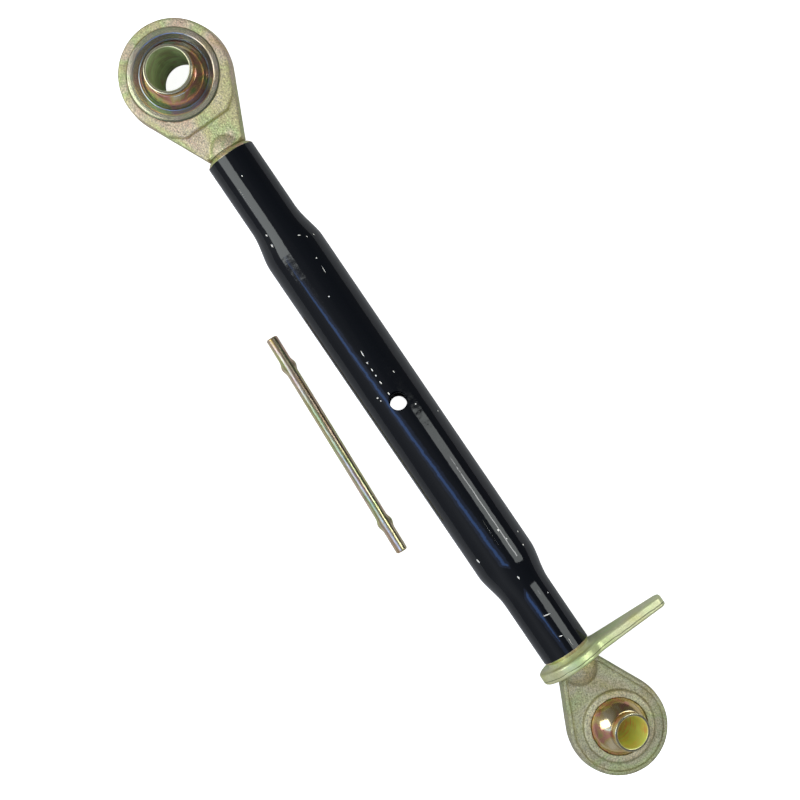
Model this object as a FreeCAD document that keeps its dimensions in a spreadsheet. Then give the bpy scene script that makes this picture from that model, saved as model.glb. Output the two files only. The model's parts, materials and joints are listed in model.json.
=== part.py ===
import FreeCAD, Part
import math
import os
import re

import Sketcher
from FreeCAD import Placement, Rotation, Vector

# A tractor top link: a turnbuckle barrel with a forged ball-joint rod end screwed into each
# mouth, a lever lock nut on one of them, and a loose tommy bar that turns the barrel.
#
# Frame: the origin is on the barrel's axis where the tommy bar hole crosses it. +X runs along
# the barrel towards the implement end, which carries the lock nut. +Z is up, with the link
# lying on its side, and +Y is the side that the lock nut's lever points to. Millimetres.

SIZES = {
    # Barrel: a round tube swaged down to a tapped neck at each end.
    "barrel_length": 362.0,
    "barrel_diameter": 38.1,
    "barrel_wall": 4.5,
    "neck_diameter": 31.0,
    "tractor_neck_length": 47.0,
    "implement_neck_length": 42.5,
    "swage_length": 25.0,
    "mouth_bevel": 1.7,
    "bore_bevel": 0.5,
    # Tommy bar hole, straight through both walls, a little off upright.
    "bar_hole_diameter": 10.5,
    "bar_hole_tilt": 3.7,
    "bar_hole_heading": 249.4,
    # Screw: the outside diameter of the shanks' thread and its running clearance.
    "thread_diameter": 25.4,
    "thread_clearance": 0.05,
    "thread_lead_in": 2.5,
    # Tractor end, with the larger ball. Heights are measured from the eye's middle plane.
    "tractor_end_gap": 1.5,
    "tractor_roll": 4.5,
    "tractor_eye_radius": 34.5,
    "tractor_eye_reach": 53.8,
    "tractor_root_radius": 12.9,
    "tractor_web_height": 9.0,
    "tractor_face_height": 12.5,
    "tractor_back_height": 10.6,
    "tractor_step_reach": 35.4,
    "tractor_step_half_width": 15.0,
    "tractor_step_slant": 15.0,
    "tractor_rim_width": 3.7,
    "tractor_dish_depth": 1.8,
    "tractor_boss_radius": 25.6,
    "tractor_ring_radius": 28.0,
    "tractor_ring_seat_height": 4.5,
    "tractor_ring_land": 3.75,
    "tractor_front_opening": 20.4,
    "tractor_back_opening": 20.0,
    "tractor_ball_radius": 22.5,
    "tractor_ball_width": 51.0,
    "tractor_collar_radius": 14.7,
    "tractor_bore_radius": 12.8,
    "tractor_ball_tilt": -2.5,
    "tractor_ball_heading": 90.0,
    "tractor_shank_length": 161.5,
    # Implement end, with the smaller ball.
    "implement_end_gap": 1.0,
    "implement_roll": -4.0,
    "implement_eye_radius": 30.25,
    "implement_eye_reach": 42.4,
    "implement_root_radius": 13.3,
    "implement_web_height": 8.6,
    "implement_face_height": 11.0,
    "implement_back_height": 10.0,
    "implement_step_reach": 31.0,
    "implement_step_half_width": 13.5,
    "implement_step_slant": 12.5,
    "implement_rim_width": 3.3,
    "implement_dish_depth": 1.8,
    "implement_boss_radius": 22.4,
    "implement_ring_radius": 24.25,
    "implement_ring_seat_height": 4.0,
    "implement_ring_land": 3.25,
    "implement_front_opening": 17.6,
    "implement_back_opening": 17.2,
    "implement_ball_radius": 19.5,
    "implement_ball_width": 44.0,
    "implement_collar_radius": 11.4,
    "implement_bore_radius": 9.7,
    "implement_ball_tilt": 15.1,
    "implement_ball_heading": 52.0,
    "implement_shank_length": 170.0,
    # What both rod ends share.
    "forging_draft": 5.0,
    "forging_round": 1.6,
    "ball_clearance": 0.05,
    "ball_chamfer": 0.6,
    "ring_sink": 0.3,
    "ring_lip": 0.6,
    # Lock nut: a round head and a tapered lever forged in one, with a low hub on the barrel side.
    "nut_head_radius": 22.0,
    "nut_thickness": 7.0,
    "nut_hub_radius": 14.2,
    "nut_hub_height": 2.0,
    "nut_round": 1.4,
    "lever_reach": 65.0,
    "lever_root_half_width": 16.5,
    "lever_tip_half_width": 5.6,
    "lever_tip_round": 4.5,
    "lever_fillet": 9.0,
    # Tommy bar: a plain round bar, pinched near each end so that two ears stand out.
    "bar_length": 154.0,
    "bar_diameter": 7.5,
    "bar_end_chamfer": 0.7,
    "ear_setback": 20.5,
    "ear_length": 16.0,
    "ear_half_width": 4.9,
    "ear_thickness": 3.0,
    "pinch_depth": 0.8,
    "pinch_radius": 6.0,
    "bar_offset": 45.7,
    "bar_angle": 2.6,
}

doc = FreeCAD.newDocument("TractorTopLink")
sheet = doc.addObject("Spreadsheet::Sheet", "Dimensions")
for row, (alias, number) in enumerate(SIZES.items(), start=1):
    sheet.set("A%d" % row, alias)
    sheet.set("B%d" % row, str(number))
    sheet.setAlias("B%d" % row, alias)
doc.recompute()


# ---------------------------------------------------------------- formulas and sketches


def bind(formula):
    """Write the dimension names in a formula as references to the sheet."""
    def refer(word):
        return "Dimensions." + word.group() if word.group() in SIZES else word.group()

    return re.sub(r"[a-z_]+", refer, formula)


def value(formula):
    """Work a formula out with the sheet's present numbers."""
    result = sheet.evalExpression(bind(formula))
    return float(getattr(result, "Value", result))


def new_body(label):
    body = doc.addObject("PartDesign::Body", label)
    body.Label = label
    return body


def new_sketch(body, name, role="XY_Plane", lift=None):
    """Sketch on one of the body's origin planes, lifted along the plane's normal by a formula."""
    sketch = body.newObject("Sketcher::SketchObject", name)
    plane = [item for item in body.Origin.OriginFeatures if item.Role == role][0]
    sketch.AttachmentSupport = (plane, [""])
    sketch.MapMode = "FlatFace"
    if lift:
        sketch.setExpression("AttachmentOffset.Base.z", bind(lift))
    return sketch


def constrain(sketch, *constraint, formula=None):
    """Add one constraint and, where it has a size, bind that size to a formula."""
    if formula is None:
        sketch.addConstraint(Sketcher.Constraint(*constraint))
        return
    number = sketch.addConstraint(Sketcher.Constraint(*constraint, value(formula)))
    sketch.setExpression("Constraints[%d]" % number, bind(formula))


def hold_point(sketch, edge, end, across, up):
    """Hold one end of an edge at the formulas for its two sketch coordinates."""
    for kind, formula, axis in (("DistanceX", across, -2), ("DistanceY", up, -1)):
        if abs(value(formula)) < 1e-9:
            constrain(sketch, "PointOnObject", edge, end, axis)
        else:
            constrain(sketch, kind, -1, 1, edge, end, formula=formula)


def arc_between(start, end, radius, turn):
    """Arc from start to end, counter-clockwise for turn 1 and clockwise for turn -1."""
    chord = end.sub(start)
    rise = math.sqrt(max(radius ** 2 - (chord.Length / 2) ** 2, 0.0))
    side = Vector(-chord.y, chord.x, 0).normalize().multiply(turn * rise)
    centre = start.add(end).multiply(0.5).add(side)
    first, last = (start, end) if turn > 0 else (end, start)
    angles = [math.atan2(point.y - centre.y, point.x - centre.x) for point in (first, last)]
    return Part.ArcOfCircle(Part.Circle(centre, Vector(0, 0, 1), radius), *angles)


def draw_outline(sketch, corners, arcs=None):
    """Closed outline through corners given as formulas.

    arcs maps the number of an edge to its radius formula and its turn, and every other
    edge is straight. Edge 0 runs from corner 0 to corner 1.
    """
    arcs = arcs or {}
    places = [Vector(value(across), value(up), 0) for across, up in corners]
    ends = []
    for number, start in enumerate(places):
        end = places[(number + 1) % len(places)]
        radius, turn = arcs.get(number, (None, 1))
        if radius:
            sketch.addGeometry(arc_between(start, end, value(radius), turn))
        else:
            sketch.addGeometry(Part.LineSegment(start, end))
        ends.append((1, 2) if turn > 0 else (2, 1))
    for number, (across, up) in enumerate(corners):
        following = (number + 1) % len(corners)
        constrain(sketch, "Coincident", number, ends[number][1], following, ends[following][0])
        hold_point(sketch, number, ends[number][0], across, up)
        if number in arcs:
            constrain(sketch, "Radius", number, formula=arcs[number][0])


def draw_circle(sketch, radius, across="0", up="0"):
    circle = Part.Circle(Vector(value(across), value(up), 0), Vector(0, 0, 1), value(radius))
    edge = sketch.addGeometry(circle)
    hold_point(sketch, edge, 3, across, up)
    constrain(sketch, "Radius", edge, formula=radius)


def draw_teardrop(sketch, radius, reach, half_width):
    """Round eye about the origin whose sides run off at a tangent to a narrower neck."""
    eye, neck, wide = value(radius), value(reach), value(half_width)
    meet = math.acos(eye / math.hypot(neck, wide)) + math.atan2(wide, neck)
    rim = Part.Circle(Vector(), Vector(0, 0, 1), eye)
    touch = Vector(eye * math.cos(meet), eye * math.sin(meet), 0)
    low_touch = Vector(touch.x, -touch.y, 0)
    corner = Vector(neck, wide, 0)
    low_corner = Vector(neck, -wide, 0)
    sketch.addGeometry(Part.ArcOfCircle(rim, meet, 2 * math.pi - meet))
    sketch.addGeometry(Part.LineSegment(low_touch, low_corner))
    sketch.addGeometry(Part.LineSegment(low_corner, corner))
    sketch.addGeometry(Part.LineSegment(corner, touch))
    constrain(sketch, "Coincident", 0, 3, -1, 1)
    constrain(sketch, "Radius", 0, formula=radius)
    constrain(sketch, "Tangent", 0, 2, 1, 1)
    constrain(sketch, "Tangent", 0, 1, 3, 2)
    constrain(sketch, "Coincident", 1, 2, 2, 1)
    constrain(sketch, "Coincident", 2, 2, 3, 1)
    hold_point(sketch, 2, 1, reach, "-(%s)" % half_width)
    hold_point(sketch, 2, 2, reach, half_width)


# ---------------------------------------------------------------- features


def spin(body, name, sketch, axis, kind="Revolution"):
    """Turn a sketch right round one of its own axes, to add or (as a Groove) to cut."""
    feature = body.newObject("PartDesign::" + kind, name)
    feature.Profile = sketch
    feature.ReferenceAxis = (sketch, [axis])
    feature.Angle = 360.0
    sketch.Visibility = False
    return feature


def extrude(body, name, sketch, length, kind="Pad", reverse=False, both=False, draft=None):
    """Pad or pocket a sketch by a formula; both spreads it evenly about the sketch."""
    feature = body.newObject("PartDesign::" + kind, name)
    feature.Profile = sketch
    feature.setExpression("Length", bind(length))
    feature.Reversed = reverse
    feature.Midplane = both
    if draft:
        feature.setExpression("TaperAngle", bind(draft))
    sketch.Visibility = False
    return feature


def round_edges(body, name, radius, wanted):
    """Fillet the edges of the body's present shape that the test picks out."""
    doc.recompute()
    base = body.Tip
    names = ["Edge%d" % number for number, edge in enumerate(base.Shape.Edges, start=1) if wanted(edge)]
    feature = body.newObject("PartDesign::Fillet", name)
    feature.Base = (base, names)
    feature.setExpression("Radius", bind(radius))
    return feature


def level_with(height):
    """Test for the edges that lie flat at one height in the body's own frame."""
    def wanted(edge):
        box = edge.BoundBox
        return box.ZLength < 0.01 and abs(box.ZMin - value(height)) < 0.01

    return wanted


def level_axis(heading):
    """Write the level direction at a heading as the parts of a vector."""
    return "cos(%s); sin(%s); 0" % (bind(heading), bind(heading))


def place(item, x="0", y="0", z="0", turns=(), role="Placement"):
    """Put an item at formulas for its position, turned by (axis, angle formula) pairs in order."""
    spins = ["rotation(vector(%s); %s)" % (axis, bind(angle)) for axis, angle in turns]
    turn = " * ".join(spins) or "rotation(vector(0; 0; 1); 0)"
    spot = "vector(%s; %s; %s)" % (bind(x), bind(y), bind(z))
    item.setExpression(role, "placement(%s; %s)" % (spot, turn))


# ---------------------------------------------------------------- the sub-parts


def make_barrel():
    """Tube with a swaged neck and a mouth at each end, and the tommy bar hole at mid-length."""
    body = new_body("barrel")
    end = "barrel_length / 2"
    tractor_neck, implement_neck = [
        "(barrel_length / 2 - %s_neck_length)" % side for side in ("tractor", "implement")]
    wide, narrow = "barrel_diameter / 2", "neck_diameter / 2"
    halfway = "(barrel_diameter + neck_diameter) / 4"
    bore = "(thread_diameter / 2 + thread_clearance)"
    hollow = "barrel_diameter / 2 - barrel_wall"
    step = "((barrel_diameter - neck_diameter) / 2)"
    sweep = "(swage_length ^ 2 + %s ^ 2) / (4 * %s)" % (step, step)
    outside = [
        ("-" + end, narrow + " - mouth_bevel"),
        ("-" + end + " + mouth_bevel", narrow),
        ("-" + tractor_neck, narrow),
        ("-" + tractor_neck + " + swage_length / 2", halfway),
        ("-" + tractor_neck + " + swage_length", wide),
        (implement_neck + " - swage_length", wide),
        (implement_neck + " - swage_length / 2", halfway),
        (implement_neck, narrow),
        (end + " - mouth_bevel", narrow),
        (end, narrow + " - mouth_bevel"),
    ]
    inside = [
        (end, bore + " + bore_bevel"),
        (end + " - bore_bevel", bore),
        (implement_neck, bore),
        (implement_neck + " - swage_length", hollow),
        ("-" + tractor_neck + " + swage_length", hollow),
        ("-" + tractor_neck, bore),
        ("-" + end + " + bore_bevel", bore),
        ("-" + end, bore + " + bore_bevel"),
    ]
    profile = new_sketch(body, "BarrelProfile", "XZ_Plane")
    swages = {2: (sweep, 1), 3: (sweep, -1), 5: (sweep, -1), 6: (sweep, 1)}
    draw_outline(profile, outside + inside, swages)
    spin(body, "SwagedTube", profile, "H_Axis")
    hole = new_sketch(body, "BarHoleOutline")
    leaning = [(level_axis("bar_hole_heading"), "bar_hole_tilt")]
    place(hole, turns=leaning, role="AttachmentOffset")
    draw_circle(hole, "bar_hole_diameter / 2")
    extrude(body, "BarHole", hole, "barrel_diameter + 2", kind="Pocket", both=True)
    return body


def rod_end_place(end, body, extra=()):
    """Put a piece of one rod end at its eye's centre.

    Each rod end is drawn about its eye's centre with the shank along +X and the side that the
    ball was fitted from facing +Z. The tractor end lies with that side up. The implement end
    points the other way and lies with that side down.
    """
    if end == "tractor":
        x = "-(barrel_length / 2 + tractor_end_gap + tractor_eye_reach)"
        turns = [("1; 0; 0", "tractor_roll")]
    else:
        x = "barrel_length / 2 + nut_hub_height + nut_thickness + implement_end_gap + implement_eye_reach"
        turns = [("1; 0; 0", "implement_roll"), ("0; 1; 0", "180")]
    place(body, x=x, turns=turns + list(extra))


def make_eye(end):
    """Forged eye: drafted teardrop, dished back with a boss, stepped face and a ball seat."""
    body = new_body(end + "_eye")
    size = end + "_"
    radius, reach, root = size + "eye_radius", size + "eye_reach", size + "root_radius"
    web, face, back = size + "web_height", size + "face_height", size + "back_height"
    rim, dish = size + "rim_width", size + "dish_depth"

    blank = new_sketch(body, "EyeOutline")
    draw_teardrop(blank, radius, reach, root)
    extrude(body, "FaceHalf", blank, face, draft="-forging_draft")
    lower = new_sketch(body, "BackOutline")
    draw_teardrop(lower, radius, reach, root)
    extrude(body, "BackHalf", lower, web, reverse=True, draft="-forging_draft")

    step = new_sketch(body, "StepOutline", lift=web)
    shoulder = "(%sstep_reach - %sstep_slant)" % (size, size)
    past = "(%s + %s)" % (reach, root)
    half = size + "step_half_width"
    draw_outline(step, [
        (shoulder, radius),
        (size + "step_reach", half),
        (size + "step_reach", "-" + half),
        (shoulder, "-" + radius),
        (past, "-" + radius),
        (past, radius),
    ])
    extrude(body, "NeckStep", step, face, kind="Pocket", reverse=True)
    round_edges(body, "ForgedFace", "forging_round", level_with(face))
    round_edges(body, "ForgedBack", "forging_round", level_with("-" + web))

    hollow = new_sketch(body, "DishOutline", lift="-" + web)
    inner = "(%s - %s)" % (root, rim)
    draw_teardrop(hollow, "(%s - %s)" % (radius, rim), reach, inner)
    extrude(body, "BackDish", hollow, dish, kind="Pocket", reverse=True)

    boss = new_sketch(body, "BossOutline")
    draw_circle(boss, size + "boss_radius")
    extrude(body, "BackBoss", boss, back, reverse=True, draft="-forging_draft")
    round_edges(body, "ForgedBoss", "forging_round", level_with("-" + back))

    dome = new_sketch(body, "RootProfile", "XZ_Plane")
    draw_outline(dome, [
        ("%s - %s" % (reach, root), "0"),
        (reach, "0"),
        (reach, root),
    ], {2: (root, 1)})
    spin(body, "RootDome", dome, "H_Axis")

    seat = "(%sball_radius + ball_clearance)" % size
    opening, floor = size + "back_opening", size + "ring_seat_height"
    lip = "sqrt(%s ^ 2 - %s ^ 2)" % (seat, opening)
    above, below = "(%s + 2)" % face, "-(%s + 2)" % back
    housing = new_sketch(body, "SeatProfile", "XZ_Plane")
    draw_outline(housing, [
        ("0", above),
        ("0", below),
        (opening, below),
        (opening, "-" + lip),
        (seat, "0"),
        (seat, floor),
        (size + "ring_radius", floor),
        (size + "ring_radius", above),
    ], {3: (seat, 1)})
    spin(body, "BallSeat", housing, "V_Axis", kind="Groove")
    rod_end_place(end, body)
    return body


def make_shank(end):
    """Threaded shank, plain at its thread's outside diameter, with a lead-in at its inner end."""
    body = new_body(end + "_shank")
    start = end + "_eye_reach"
    stop = "(%s + %s_shank_length)" % (start, end)
    thread = "thread_diameter / 2"
    profile = new_sketch(body, "ShankProfile", "XZ_Plane")
    draw_outline(profile, [
        (start, "0"),
        (stop, "0"),
        (stop, thread + " - thread_lead_in"),
        (stop + " - thread_lead_in", thread),
        (start, thread),
    ])
    spin(body, "Shank", profile, "H_Axis")
    rod_end_place(end, body)
    return body


def make_ball(end):
    """Ball with a plain collar on each side and the linkage pin's bore through it."""
    body = new_body(end + "_ball")
    size = end + "_"
    bore, collar, half = size + "bore_radius", size + "collar_radius", size + "ball_width / 2"
    ball = size + "ball_radius"
    waist = "sqrt(%s ^ 2 - %s ^ 2)" % (ball, collar)
    profile = new_sketch(body, "BallProfile", "XZ_Plane")
    draw_outline(profile, [
        (bore, "-" + half + " + ball_chamfer"),
        (bore + " + ball_chamfer", "-" + half),
        (collar + " - ball_chamfer", "-" + half),
        (collar, "-" + half + " + ball_chamfer"),
        (collar, "-" + waist),
        (collar, waist),
        (collar, half + " - ball_chamfer"),
        (collar + " - ball_chamfer", half),
        (bore + " + ball_chamfer", half),
        (bore, half + " - ball_chamfer"),
    ], {4: (ball, 1)})
    spin(body, "Ball", profile, "V_Axis")
    rod_end_place(end, body, [(level_axis(size + "ball_heading"), size + "ball_tilt")])
    return body


def make_ring(end):
    """Retaining ring that closes the ball in: flat land outside, dished inside, ball-shaped bore."""
    body = new_body(end + "_retaining_ring")
    size = end + "_"
    seat = "(%sball_radius + ball_clearance)" % size
    opening, floor = size + "front_opening", size + "ring_seat_height"
    outer = size + "ring_radius"
    top = "(%sface_height - ring_sink)" % size
    mouth = "sqrt(%s ^ 2 - %s ^ 2)" % (seat, opening)
    profile = new_sketch(body, "RingProfile", "XZ_Plane")
    draw_outline(profile, [
        ("sqrt(%s ^ 2 - %s ^ 2)" % (seat, floor), floor),
        (outer, floor),
        (outer, top),
        ("(%s - %sring_land)" % (outer, size), top),
        (opening + " + ring_lip", mouth + " + ring_lip / 2"),
        (opening, mouth),
    ], {5: (seat, -1)})
    spin(body, "Ring", profile, "V_Axis")
    rod_end_place(end, body)
    return body


def make_lock_nut():
    """Lever lock nut, drawn about the shank's axis with the barrel's mouth at x = 0."""
    body = new_body("lock_nut")
    head = new_sketch(body, "HeadOutline", "YZ_Plane", lift="nut_hub_height")
    draw_circle(head, "nut_head_radius")
    extrude(body, "Head", head, "nut_thickness")
    lever = new_sketch(body, "LeverOutline", "YZ_Plane", lift="nut_hub_height")
    draw_outline(lever, [
        ("0", "-lever_root_half_width"),
        ("lever_reach", "-lever_tip_half_width"),
        ("lever_reach", "lever_tip_half_width"),
        ("0", "lever_root_half_width"),
    ])
    extrude(body, "Lever", lever, "nut_thickness")

    def through_plate(edge):
        return abs(edge.tangentAt(edge.FirstParameter).x) > 0.99

    def at_tip(edge):
        return through_plate(edge) and edge.CenterOfMass.y > value("lever_reach") - 0.01

    def in_throat(edge):
        return through_plate(edge) and 0 < edge.CenterOfMass.y < value("nut_head_radius")

    def on_rim(edge):
        return edge.BoundBox.XLength < 0.01

    round_edges(body, "Tip", "lever_tip_round", at_tip)
    round_edges(body, "Throat", "lever_fillet", in_throat)
    round_edges(body, "ForgedEdge", "nut_round", on_rim)
    hub = new_sketch(body, "HubOutline", "YZ_Plane")
    draw_circle(hub, "nut_hub_radius")
    extrude(body, "Hub", hub, "nut_hub_height + nut_thickness")
    bore = new_sketch(body, "BoreOutline", "YZ_Plane")
    draw_circle(bore, "thread_diameter / 2 + thread_clearance")
    extrude(body, "Bore", bore, "3 * (nut_hub_height + nut_thickness)", kind="Pocket", both=True)
    place(body, x="barrel_length / 2")
    return body


def make_tommy_bar():
    """Round bar along X, pinched from below near each end so that ears stand out."""
    body = new_body("tommy_bar")
    end, radius = "bar_length / 2", "bar_diameter / 2"
    profile = new_sketch(body, "BarProfile", "XZ_Plane")
    draw_outline(profile, [
        ("-" + end, "0"),
        (end, "0"),
        (end, radius + " - bar_end_chamfer"),
        (end + " - bar_end_chamfer", radius),
        ("-" + end + " + bar_end_chamfer", radius),
        ("-" + end, radius + " - bar_end_chamfer"),
    ])
    spin(body, "Bar", profile, "H_Axis")
    bulge = "((ear_length / 2) ^ 2 + ear_half_width ^ 2) / (2 * ear_half_width)"
    for side, sign in (("Near", "-"), ("Far", "")):
        spot = "(%s(bar_length / 2 - ear_setback))" % sign
        ears = new_sketch(body, side + "EarOutline")
        draw_outline(ears, [
            (spot + " - ear_length / 2", "0"),
            (spot + " + ear_length / 2", "0"),
        ], {0: (bulge, 1), 1: (bulge, 1)})
        extrude(body, side + "Ears", ears, "ear_thickness", both=True)
        pinch = new_sketch(body, side + "PinchOutline", "XZ_Plane")
        draw_circle(pinch, "pinch_radius", spot, "pinch_depth - pinch_radius - %s" % radius)
        extrude(body, side + "Pinch", pinch, "2 * bar_diameter", kind="Pocket", both=True)
    lean = "sqrt(tractor_roll ^ 2 + tractor_ball_tilt ^ 2)"
    floor = "(tractor_ball_width / 2 * cos(%s) + tractor_collar_radius * sin(%s))" % (lean, lean)
    place(body, y="-bar_offset", z="%s - %s" % (radius, floor), turns=[("0; 0; 1", "-bar_angle")])
    return body


parts = [make_barrel(), make_lock_nut(), make_tommy_bar()]
for end in ("tractor", "implement"):
    parts += [make_eye(end), make_shank(end), make_ball(end), make_ring(end)]

doc.recompute()
for item in doc.Objects:
    if "Invalid" in item.State or "Error" in item.State:
        raise RuntimeError("%s did not build: %s" % (item.Label, item.State))

os.makedirs("parts", exist_ok=True)
for body in parts:
    shape = body.Shape
    if shape.isNull() or not shape.isValid() or len(shape.Solids) != 1:
        raise RuntimeError(body.Label + " is not one valid solid")
    shape.exportStep("parts/%s.step" % body.Label)
    box = shape.BoundBox
    print("%-26s volume %9.1f  X %7.1f..%7.1f  Y %6.1f..%6.1f  Z %6.1f..%6.1f" % (
        body.Label, shape.Volume, box.XMin, box.XMax, box.YMin, box.YMax, box.ZMin, box.ZMax))
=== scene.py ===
# %% [markdown]
# # Dressing a tractor top link
# A top link is a turnbuckle: a swaged barrel with a left hand and a right hand thread, and a
# forged ball-joint rod end screwed into each mouth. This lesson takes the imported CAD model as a
# fixed frame and gives each piece its finish: gloss black paint on the barrel, rough forgings
# and turned balls in yellow zinc plate, a lever lock nut, and a loose tommy bar beside it.

# %% Load the frame
import json
import math

import bmesh
import bpy
from mathutils import Matrix, Vector, noise


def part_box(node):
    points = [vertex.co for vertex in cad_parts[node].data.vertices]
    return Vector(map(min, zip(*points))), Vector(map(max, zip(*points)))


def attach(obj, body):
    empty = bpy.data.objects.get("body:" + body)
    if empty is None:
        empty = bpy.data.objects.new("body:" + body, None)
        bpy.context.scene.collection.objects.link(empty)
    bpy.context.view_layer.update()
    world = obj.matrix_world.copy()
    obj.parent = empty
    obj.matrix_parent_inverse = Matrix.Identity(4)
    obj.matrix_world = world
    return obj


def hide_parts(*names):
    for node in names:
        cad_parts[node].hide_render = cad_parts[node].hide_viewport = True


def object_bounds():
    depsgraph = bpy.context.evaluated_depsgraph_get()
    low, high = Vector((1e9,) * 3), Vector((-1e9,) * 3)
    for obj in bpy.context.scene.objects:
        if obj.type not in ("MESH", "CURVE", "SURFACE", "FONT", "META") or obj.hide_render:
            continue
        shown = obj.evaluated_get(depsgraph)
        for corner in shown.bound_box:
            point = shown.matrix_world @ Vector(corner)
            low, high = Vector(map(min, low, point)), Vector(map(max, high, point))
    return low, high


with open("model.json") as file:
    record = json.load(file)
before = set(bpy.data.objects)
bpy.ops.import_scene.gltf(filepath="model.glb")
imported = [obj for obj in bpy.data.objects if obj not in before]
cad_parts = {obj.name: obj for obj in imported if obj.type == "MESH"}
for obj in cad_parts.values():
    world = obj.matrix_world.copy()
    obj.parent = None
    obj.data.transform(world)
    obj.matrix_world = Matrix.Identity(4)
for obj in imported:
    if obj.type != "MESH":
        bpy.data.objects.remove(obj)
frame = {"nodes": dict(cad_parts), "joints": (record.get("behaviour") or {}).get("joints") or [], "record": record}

MM = 0.001
CAD_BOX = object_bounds()
JOINTS = {joint["name"]: joint for joint in frame["joints"]}
MOUNTS = {mount["name"]: mount for mount in frame["record"]["mounts"]}
print("CAD box, mm:", [round(side / MM, 1) for side in CAD_BOX[1] - CAD_BOX[0]])

# %% [markdown]
# ## The camera
# The link lies flat on a white table and the camera hangs nearly straight above its middle. A
# long lens keeps both ends the same size, and the camera is turned about its own line of sight
# so that the barrel runs across the frame from corner to corner. Its axes are built by hand,
# because a tracking constraint can't tell which way is up when it looks straight down.

# %% Camera above the link
LENS = 69.8
CAMERA_SPOT = Vector((-6.1, -3.6, 932.7)) * MM
CAMERA_TARGET = Vector((-1.0, 1.8, 0.0)) * MM
CAMERA_TURN = math.radians(55.8)


def facing(spot, target, turn):
    """Matrix of a camera or lamp at spot that faces target, with its right side turned from +X."""
    back = (spot - target).normalized()
    up = back.cross(Vector((math.cos(turn), math.sin(turn), 0.0))).normalized()
    axes = Matrix((up.cross(back), up, back)).transposed()
    return Matrix.Translation(spot) @ axes.to_4x4()


lens = bpy.data.cameras.new("camera")
lens.lens = LENS
camera = bpy.data.objects.new("camera", lens)
camera.matrix_world = facing(CAMERA_SPOT, CAMERA_TARGET, CAMERA_TURN)
bpy.context.scene.collection.objects.link(camera)
bpy.context.scene.camera = camera
bpy.context.scene.view_settings.view_transform = "Standard"
print("camera %.0f mm above the axis" % (camera.location.z / MM))

# %% [markdown]
# ## The table
# A white table top that burns out to plain white in the frame, as a cut-out on a page does.
# What the link mirrors of it is far darker, because the sides of a glossy tube go nearly black
# on a real bench. So the material asks the Light Path node what kind of ray is looking: the
# camera gets the bright table, and every other ray a mid grey one.

# %% Material helpers
def new_material(name):
    """Node material, with its tree and its Principled shader."""
    material = bpy.data.materials.new(name)
    material.use_nodes = True
    return material, material.node_tree, material.node_tree.nodes["Principled BSDF"]


def set_input(tree, socket, source):
    """Link an output socket to an input socket, or give the input a plain value."""
    if isinstance(source, bpy.types.NodeSocket):
        tree.links.new(source, socket)
    else:
        socket.default_value = source


def add_node(tree, kind, *links, **settings):
    """Add a node; links are (input name or number, source) pairs, settings are its options."""
    node = tree.nodes.new(kind)
    for option, choice in settings.items():
        setattr(node, option, choice)
    for key, source in links:
        set_input(tree, node.inputs[key], source)
    return node


def math_node(tree, operation, *sources):
    """Output of a Math node on one to three numbers or sockets."""
    return add_node(tree, "ShaderNodeMath", *enumerate(sources), operation=operation).outputs[0]


def mixed(tree, share, first, second):
    """Colour between two, each of them an (r, g, b) colour or a socket."""
    pair = [(*tone, 1) if isinstance(tone, tuple) else tone for tone in (first, second)]
    return add_node(tree, "ShaderNodeMix", (0, share), (6, pair[0]), (7, pair[1]),
                    data_type="RGBA").outputs[2]


def remapped(tree, value, low, high, to_low=0.0, to_high=1.0):
    """A value stretched from one range to another and held inside it."""
    return add_node(tree, "ShaderNodeMapRange", ("Value", value), ("From Min", low),
                    ("From Max", high), ("To Min", to_low), ("To Max", to_high)).outputs["Result"]


def noise_field(tree, place, scale, detail, *more):
    """Value of a noise texture at a place."""
    return add_node(tree, "ShaderNodeTexNoise", ("Vector", place), ("Scale", scale),
                    ("Detail", detail), *more).outputs["Fac"]


def noise_line(tree, along, scale, detail):
    """Value of a noise that changes along one number only."""
    return add_node(tree, "ShaderNodeTexNoise", ("W", along), ("Scale", scale), ("Detail", detail),
                    noise_dimensions="1D").outputs["Fac"]


def split(tree, place):
    """The X, Y and Z outputs of a place."""
    return add_node(tree, "ShaderNodeSeparateXYZ", (0, place)).outputs


def dress(tree, shader, colour, roughness, metallic, height, strength, depth):
    """Wire up a shader, with a bump of a height, a strength and a depth in millimetres."""
    relief = add_node(tree, "ShaderNodeBump", ("Height", height), ("Strength", strength),
                      ("Distance", depth * MM))
    for label, source in (("Base Color", colour), ("Roughness", roughness),
                          ("Metallic", metallic), ("Normal", relief.outputs["Normal"])):
        set_input(tree, shader.inputs[label], source)


# %% Table top
TABLE_SIZE = 6.0
TABLE_GAP = 0.05
TABLE_SEEN = 0.86
TABLE_MIRRORED = 0.48
TABLE_GLOW = 0.85

table_white, tree, shader = new_material("table white")
seen = tree.nodes.new("ShaderNodeLightPath").outputs["Is Camera Ray"]
tone = mixed(tree, seen, (TABLE_MIRRORED,) * 3, (TABLE_SEEN,) * 3)
tree.links.new(tone, shader.inputs["Base Color"])
tree.links.new(math_node(tree, "MULTIPLY", seen, TABLE_GLOW), shader.inputs["Emission Strength"])
shader.inputs["Roughness"].default_value = 0.9
shader.inputs["Specular IOR Level"].default_value = 0.1
shader.inputs["Emission Color"].default_value = (1, 1, 1, 1)
sheet = bmesh.new()
bmesh.ops.create_grid(sheet, x_segments=1, y_segments=1, size=TABLE_SIZE / 2)
bmesh.ops.translate(sheet, verts=sheet.verts, vec=(0, 0, CAD_BOX[0].z - TABLE_GAP * MM))
table_mesh = bpy.data.meshes.new("table")
sheet.to_mesh(table_mesh)
sheet.free()
table_mesh.materials.append(table_white)
table = bpy.data.objects.new("table", table_mesh)
bpy.context.scene.collection.objects.link(table)
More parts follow.
